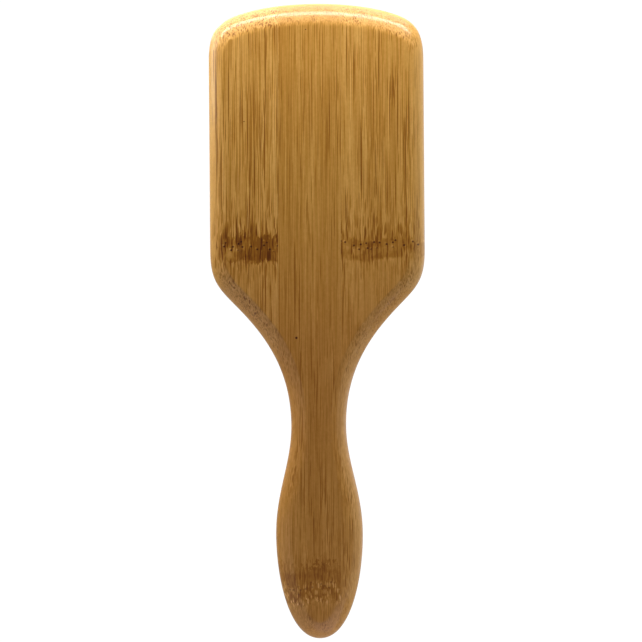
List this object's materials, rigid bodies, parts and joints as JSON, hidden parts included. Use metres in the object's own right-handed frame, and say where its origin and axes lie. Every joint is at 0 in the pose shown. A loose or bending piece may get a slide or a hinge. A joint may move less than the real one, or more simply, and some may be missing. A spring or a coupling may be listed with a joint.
{
  "type": "paddle hair brush",
  "caption": "Flat paddle hair brush: laminated bamboo head and contoured handle, air-filled rubber cushion in the front, rows of bamboo pins with rounded tips.",
  "frame": {"origin": "inside the grip, midway through its thickness at its widest place, where a hand holds the brush", "axes": "+Z along the brush from the handle tip to the crown of the head; +Y the way the pins point, so the plain back faces -Y; +X to the right when the back is looked at"},
  "size_m": [0.0846, 0.038, 0.25],
  "materials": {
    "bamboo_body": "clear satin lacquer on laminated bamboo",
    "rubber_cushion": "matt moulded rubber",
    "bamboo_pin": "turned and polished bamboo"
  },
  "bodies": {
    "paddle": {"back_strip_left": "bamboo_body", "back_strip_centre": "bamboo_body", "back_strip_right": "bamboo_body", "front_strip_left": "bamboo_body", "front_strip_centre": "bamboo_body", "front_strip_right": "bamboo_body"},
    "cushion": {"cushion": "rubber_cushion"},
    "pin_r1_c1": {"pin_r1_c1": "bamboo_pin"},
    "pin_r1_c2": {"pin_r1_c2": "bamboo_pin"},
    "pin_r1_c3": {"pin_r1_c3": "bamboo_pin"},
    "pin_r1_c4": {"pin_r1_c4": "bamboo_pin"},
    "pin_r1_c5": {"pin_r1_c5": "bamboo_pin"},
    "pin_r2_c1": {"pin_r2_c1": "bamboo_pin"},
    "pin_r2_c2": {"pin_r2_c2": "bamboo_pin"},
    "pin_r2_c3": {"pin_r2_c3": "bamboo_pin"},
    "pin_r2_c4": {"pin_r2_c4": "bamboo_pin"},
    "pin_r2_c5": {"pin_r2_c5": "bamboo_pin"},
    "pin_r2_c6": {"pin_r2_c6": "bamboo_pin"},
    "pin_r3_c1": {"pin_r3_c1": "bamboo_pin"},
    "pin_r3_c2": {"pin_r3_c2": "bamboo_pin"},
    "pin_r3_c3": {"pin_r3_c3": "bamboo_pin"},
    "pin_r3_c4": {"pin_r3_c4": "bamboo_pin"},
    "pin_r3_c5": {"pin_r3_c5": "bamboo_pin"},
    "pin_r4_c1": {"pin_r4_c1": "bamboo_pin"},
    "pin_r4_c2": {"pin_r4_c2": "bamboo_pin"},
    "pin_r4_c3": {"pin_r4_c3": "bamboo_pin"},
    "pin_r4_c4": {"pin_r4_c4": "bamboo_pin"},
    "pin_r4_c5": {"pin_r4_c5": "bamboo_pin"},
    "pin_r4_c6": {"pin_r4_c6": "bamboo_pin"},
    "pin_r5_c1": {"pin_r5_c1": "bamboo_pin"},
    "pin_r5_c2": {"pin_r5_c2": "bamboo_pin"},
    "pin_r5_c3": {"pin_r5_c3": "bamboo_pin"},
    "pin_r5_c4": {"pin_r5_c4": "bamboo_pin"},
    "pin_r5_c5": {"pin_r5_c5": "bamboo_pin"},
    "pin_r6_c1": {"pin_r6_c1": "bamboo_pin"},
    "pin_r6_c2": {"pin_r6_c2": "bamboo_pin"},
    "pin_r6_c3": {"pin_r6_c3": "bamboo_pin"},
    "pin_r6_c4": {"pin_r6_c4": "bamboo_pin"},
    "pin_r6_c5": {"pin_r6_c5": "bamboo_pin"},
    "pin_r6_c6": {"pin_r6_c6": "bamboo_pin"},
    "pin_r7_c1": {"pin_r7_c1": "bamboo_pin"},
    "pin_r7_c2": {"pin_r7_c2": "bamboo_pin"},
    "pin_r7_c3": {"pin_r7_c3": "bamboo_pin"},
    "pin_r7_c4": {"pin_r7_c4": "bamboo_pin"},
    "pin_r7_c5": {"pin_r7_c5": "bamboo_pin"},
    "pin_r8_c1": {"pin_r8_c1": "bamboo_pin"},
    "pin_r8_c2": {"pin_r8_c2": "bamboo_pin"},
    "pin_r8_c3": {"pin_r8_c3": "bamboo_pin"},
    "pin_r8_c4": {"pin_r8_c4": "bamboo_pin"},
    "pin_r8_c5": {"pin_r8_c5": "bamboo_pin"},
    "pin_r8_c6": {"pin_r8_c6": "bamboo_pin"},
    "pin_r9_c1": {"pin_r9_c1": "bamboo_pin"},
    "pin_r9_c2": {"pin_r9_c2": "bamboo_pin"},
    "pin_r9_c3": {"pin_r9_c3": "bamboo_pin"},
    "pin_r9_c4": {"pin_r9_c4": "bamboo_pin"},
    "pin_r9_c5": {"pin_r9_c5": "bamboo_pin"}
  },
  "joints": [
    {"name": "cushion_press", "type": "slide", "parent": "paddle", "child": "cushion", "axis": [0, -1, 0], "range_m": [0, 0.003], "stiffness_N_per_m": 5000, "deforming": ["cushion"]},
    {"name": "pin_r1_c1_tilt", "type": "hinge", "parent": "cushion", "child": "pin_r1_c1", "pos_m": [-0.02, 0.0113, 0.188], "axis": [1, 0, 0], "range_deg": [-10, 10], "stiffness_Nm_per_rad": 0.02},
    {"name": "pin_r1_c2_tilt", "type": "hinge", "parent": "cushion", "child": "pin_r1_c2", "pos_m": [-0.01, 0.0115, 0.188], "axis": [1, 0, 0], "range_deg": [-10, 10], "stiffness_Nm_per_rad": 0.02},
    {"name": "pin_r1_c3_tilt", "type": "hinge", "parent": "cushion", "child": "pin_r1_c3", "pos_m": [0, 0.0116, 0.188], "axis": [1, 0, 0], "range_deg": [-10, 10], "stiffness_Nm_per_rad": 0.02},
    {"name": "pin_r1_c4_tilt", "type": "hinge", "parent": "cushion", "child": "pin_r1_c4", "pos_m": [0.01, 0.0115, 0.188], "axis": [1, 0, 0], "range_deg": [-10, 10], "stiffness_Nm_per_rad": 0.02},
    {"name": "pin_r1_c5_tilt", "type": "hinge", "parent": "cushion", "child": "pin_r1_c5", "pos_m": [0.02, 0.0113, 0.188], "axis": [1, 0, 0], "range_deg": [-10, 10], "stiffness_Nm_per_rad": 0.02},
    {"name": "pin_r2_c1_tilt", "type": "hinge", "parent": "cushion", "child": "pin_r2_c1", "pos_m": [-0.025, 0.0112, 0.1785], "axis": [1, 0, 0], "range_deg": [-10, 10], "stiffness_Nm_per_rad": 0.02},
    {"name": "pin_r2_c2_tilt", "type": "hinge", "parent": "cushion", "child": "pin_r2_c2", "pos_m": [-0.015, 0.0116, 0.1785], "axis": [1, 0, 0], "range_deg": [-10, 10], "stiffness_Nm_per_rad": 0.02},
    {"name": "pin_r2_c3_tilt", "type": "hinge", "parent": "cushion", "child": "pin_r2_c3", "pos_m": [-0.005, 0.0116, 0.1785], "axis": [1, 0, 0], "range_deg": [-10, 10], "stiffness_Nm_per_rad": 0.02},
    {"name": "pin_r2_c4_tilt", "type": "hinge", "parent": "cushion", "child": "pin_r2_c4", "pos_m": [0.005, 0.0116, 0.1785], "axis": [1, 0, 0], "range_deg": [-10, 10], "stiffness_Nm_per_rad": 0.02},
    {"name": "pin_r2_c5_tilt", "type": "hinge", "parent": "cushion", "child": "pin_r2_c5", "pos_m": [0.015, 0.0116, 0.1785], "axis": [1, 0, 0], "range_deg": [-10, 10], "stiffness_Nm_per_rad": 0.02},
    {"name": "pin_r2_c6_tilt", "type": "hinge", "parent": "cushion", "child": "pin_r2_c6", "pos_m": [0.025, 0.0112, 0.1785], "axis": [1, 0, 0], "range_deg": [-10, 10], "stiffness_Nm_per_rad": 0.02},
    {"name": "pin_r3_c1_tilt", "type": "hinge", "parent": "cushion", "child": "pin_r3_c1", "pos_m": [-0.02, 0.0116, 0.169], "axis": [1, 0, 0], "range_deg": [-10, 10], "stiffness_Nm_per_rad": 0.02},
    {"name": "pin_r3_c2_tilt", "type": "hinge", "parent": "cushion", "child": "pin_r3_c2", "pos_m": [-0.01, 0.0116, 0.169], "axis": [1, 0, 0], "range_deg": [-10, 10], "stiffness_Nm_per_rad": 0.02},
    {"name": "pin_r3_c3_tilt", "type": "hinge", "parent": "cushion", "child": "pin_r3_c3", "pos_m": [0, 0.0116, 0.169], "axis": [1, 0, 0], "range_deg": [-10, 10], "stiffness_Nm_per_rad": 0.02},
    {"name": "pin_r3_c4_tilt", "type": "hinge", "parent": "cushion", "child": "pin_r3_c4", "pos_m": [0.01, 0.0116, 0.169], "axis": [1, 0, 0], "range_deg": [-10, 10], "stiffness_Nm_per_rad": 0.02},
    {"name": "pin_r3_c5_tilt", "type": "hinge", "parent": "cushion", "child": "pin_r3_c5", "pos_m": [0.02, 0.0116, 0.169], "axis": [1, 0, 0], "range_deg": [-10, 10], "stiffness_Nm_per_rad": 0.02},
    {"name": "pin_r4_c1_tilt", "type": "hinge", "parent": "cushion", "child": "pin_r4_c1", "pos_m": [-0.025, 0.0112, 0.1595], "axis": [1, 0, 0], "range_deg": [-10, 10], "stiffness_Nm_per_rad": 0.02},
    {"name": "pin_r4_c2_tilt", "type": "hinge", "parent": "cushion", "child": "pin_r4_c2", "pos_m": [-0.015, 0.0116, 0.1595], "axis": [1, 0, 0], "range_deg": [-10, 10], "stiffness_Nm_per_rad": 0.02},
    {"name": "pin_r4_c3_tilt", "type": "hinge", "parent": "cushion", "child": "pin_r4_c3", "pos_m": [-0.005, 0.0116, 0.1595], "axis": [1, 0, 0], "range_deg": [-10, 10], "stiffness_Nm_per_rad": 0.02},
    {"name": "pin_r4_c4_tilt", "type": "hinge", "parent": "cushion", "child": "pin_r4_c4", "pos_m": [0.005, 0.0116, 0.1595], "axis": [1, 0, 0], "range_deg": [-10, 10], "stiffness_Nm_per_rad": 0.02},
    {"name": "pin_r4_c5_tilt", "type": "hinge", "parent": "cushion", "child": "pin_r4_c5", "pos_m": [0.015, 0.0116, 0.1595], "axis": [1, 0, 0], "range_deg": [-10, 10], "stiffness_Nm_per_rad": 0.02},
    {"name": "pin_r4_c6_tilt", "type": "hinge", "parent": "cushion", "child": "pin_r4_c6", "pos_m": [0.025, 0.0112, 0.1595], "axis": [1, 0, 0], "range_deg": [-10, 10], "stiffness_Nm_per_rad": 0.02},
    {"name": "pin_r5_c1_tilt", "type": "hinge", "parent": "cushion", "child": "pin_r5_c1", "pos_m": [-0.02, 0.0116, 0.15], "axis": [1, 0, 0], "range_deg": [-10, 10], "stiffness_Nm_per_rad": 0.02},
    {"name": "pin_r5_c2_tilt", "type": "hinge", "parent": "cushion", "child": "pin_r5_c2", "pos_m": [-0.01, 0.0116, 0.15], "axis": [1, 0, 0], "range_deg": [-10, 10], "stiffness_Nm_per_rad": 0.02},
    {"name": "pin_r5_c3_tilt", "type": "hinge", "parent": "cushion", "child": "pin_r5_c3", "pos_m": [0, 0.0116, 0.15], "axis": [1, 0, 0], "range_deg": [-10, 10], "stiffness_Nm_per_rad": 0.02},
    {"name": "pin_r5_c4_tilt", "type": "hinge", "parent": "cushion", "child": "pin_r5_c4", "pos_m": [0.01, 0.0116, 0.15], "axis": [1, 0, 0], "range_deg": [-10, 10], "stiffness_Nm_per_rad": 0.02},
    {"name": "pin_r5_c5_tilt", "type": "hinge", "parent": "cushion", "child": "pin_r5_c5", "pos_m": [0.02, 0.0116, 0.15], "axis": [1, 0, 0], "range_deg": [-10, 10], "stiffness_Nm_per_rad": 0.02},
    {"name": "pin_r6_c1_tilt", "type": "hinge", "parent": "cushion", "child": "pin_r6_c1", "pos_m": [-0.025, 0.0112, 0.1405], "axis": [1, 0, 0], "range_deg": [-10, 10], "stiffness_Nm_per_rad": 0.02},
    {"name": "pin_r6_c2_tilt", "type": "hinge", "parent": "cushion", "child": "pin_r6_c2", "pos_m": [-0.015, 0.0116, 0.1405], "axis": [1, 0, 0], "range_deg": [-10, 10], "stiffness_Nm_per_rad": 0.02},
    {"name": "pin_r6_c3_tilt", "type": "hinge", "parent": "cushion", "child": "pin_r6_c3", "pos_m": [-0.005, 0.0116, 0.1405], "axis": [1, 0, 0], "range_deg": [-10, 10], "stiffness_Nm_per_rad": 0.02},
    {"name": "pin_r6_c4_tilt", "type": "hinge", "parent": "cushion", "child": "pin_r6_c4", "pos_m": [0.005, 0.0116, 0.1405], "axis": [1, 0, 0], "range_deg": [-10, 10], "stiffness_Nm_per_rad": 0.02},
    {"name": "pin_r6_c5_tilt", "type": "hinge", "parent": "cushion", "child": "pin_r6_c5", "pos_m": [0.015, 0.0116, 0.1405], "axis": [1, 0, 0], "range_deg": [-10, 10], "stiffness_Nm_per_rad": 0.02},
    {"name": "pin_r6_c6_tilt", "type": "hinge", "parent": "cushion", "child": "pin_r6_c6", "pos_m": [0.025, 0.0112, 0.1405], "axis": [1, 0, 0], "range_deg": [-10, 10], "stiffness_Nm_per_rad": 0.02},
    {"name": "pin_r7_c1_tilt", "type": "hinge", "parent": "cushion", "child": "pin_r7_c1", "pos_m": [-0.02, 0.0116, 0.131], "axis": [1, 0, 0], "range_deg": [-10, 10], "stiffness_Nm_per_rad": 0.02},
    {"name": "pin_r7_c2_tilt", "type": "hinge", "parent": "cushion", "child": "pin_r7_c2", "pos_m": [-0.01, 0.0116, 0.131], "axis": [1, 0, 0], "range_deg": [-10, 10], "stiffness_Nm_per_rad": 0.02},
    {"name": "pin_r7_c3_tilt", "type": "hinge", "parent": "cushion", "child": "pin_r7_c3", "pos_m": [0, 0.0116, 0.131], "axis": [1, 0, 0], "range_deg": [-10, 10], "stiffness_Nm_per_rad": 0.02},
    {"name": "pin_r7_c4_tilt", "type": "hinge", "parent": "cushion", "child": "pin_r7_c4", "pos_m": [0.01, 0.0116, 0.131], "axis": [1, 0, 0], "range_deg": [-10, 10], "stiffness_Nm_per_rad": 0.02},
    {"name": "pin_r7_c5_tilt", "type": "hinge", "parent": "cushion", "child": "pin_r7_c5", "pos_m": [0.02, 0.0116, 0.131], "axis": [1, 0, 0], "range_deg": [-10, 10], "stiffness_Nm_per_rad": 0.02},
    {"name": "pin_r8_c1_tilt", "type": "hinge", "parent": "cushion", "child": "pin_r8_c1", "pos_m": [-0.025, 0.0112, 0.1215], "axis": [1, 0, 0], "range_deg": [-10, 10], "stiffness_Nm_per_rad": 0.02},
    {"name": "pin_r8_c2_tilt", "type": "hinge", "parent": "cushion", "child": "pin_r8_c2", "pos_m": [-0.015, 0.0116, 0.1215], "axis": [1, 0, 0], "range_deg": [-10, 10], "stiffness_Nm_per_rad": 0.02},
    {"name": "pin_r8_c3_tilt", "type": "hinge", "parent": "cushion", "child": "pin_r8_c3", "pos_m": [-0.005, 0.0116, 0.1215], "axis": [1, 0, 0], "range_deg": [-10, 10], "stiffness_Nm_per_rad": 0.02},
    {"name": "pin_r8_c4_tilt", "type": "hinge", "parent": "cushion", "child": "pin_r8_c4", "pos_m": [0.005, 0.0116, 0.1215], "axis": [1, 0, 0], "range_deg": [-10, 10], "stiffness_Nm_per_rad": 0.02},
    {"name": "pin_r8_c5_tilt", "type": "hinge", "parent": "cushion", "child": "pin_r8_c5", "pos_m": [0.015, 0.0116, 0.1215], "axis": [1, 0, 0], "range_deg": [-10, 10], "stiffness_Nm_per_rad": 0.02},
    {"name": "pin_r8_c6_tilt", "type": "hinge", "parent": "cushion", "child": "pin_r8_c6", "pos_m": [0.025, 0.0112, 0.1215], "axis": [1, 0, 0], "range_deg": [-10, 10], "stiffness_Nm_per_rad": 0.02},
    {"name": "pin_r9_c1_tilt", "type": "hinge", "parent": "cushion", "child": "pin_r9_c1", "pos_m": [-0.02, 0.0113, 0.112], "axis": [1, 0, 0], "range_deg": [-10, 10], "stiffness_Nm_per_rad": 0.02},
    {"name": "pin_r9_c2_tilt", "type": "hinge", "parent": "cushion", "child": "pin_r9_c2", "pos_m": [-0.01, 0.0115, 0.112], "axis": [1, 0, 0], "range_deg": [-10, 10], "stiffness_Nm_per_rad": 0.02},
    {"name": "pin_r9_c3_tilt", "type": "hinge", "parent": "cushion", "child": "pin_r9_c3", "pos_m": [0, 0.0116, 0.112], "axis": [1, 0, 0], "range_deg": [-10, 10], "stiffness_Nm_per_rad": 0.02},
    {"name": "pin_r9_c4_tilt", "type": "hinge", "parent": "cushion", "child": "pin_r9_c4", "pos_m": [0.01, 0.0115, 0.112], "axis": [1, 0, 0], "range_deg": [-10, 10], "stiffness_Nm_per_rad": 0.02},
    {"name": "pin_r9_c5_tilt", "type": "hinge", "parent": "cushion", "child": "pin_r9_c5", "pos_m": [0.02, 0.0113, 0.112], "axis": [1, 0, 0], "range_deg": [-10, 10], "stiffness_Nm_per_rad": 0.02}
  ]
}
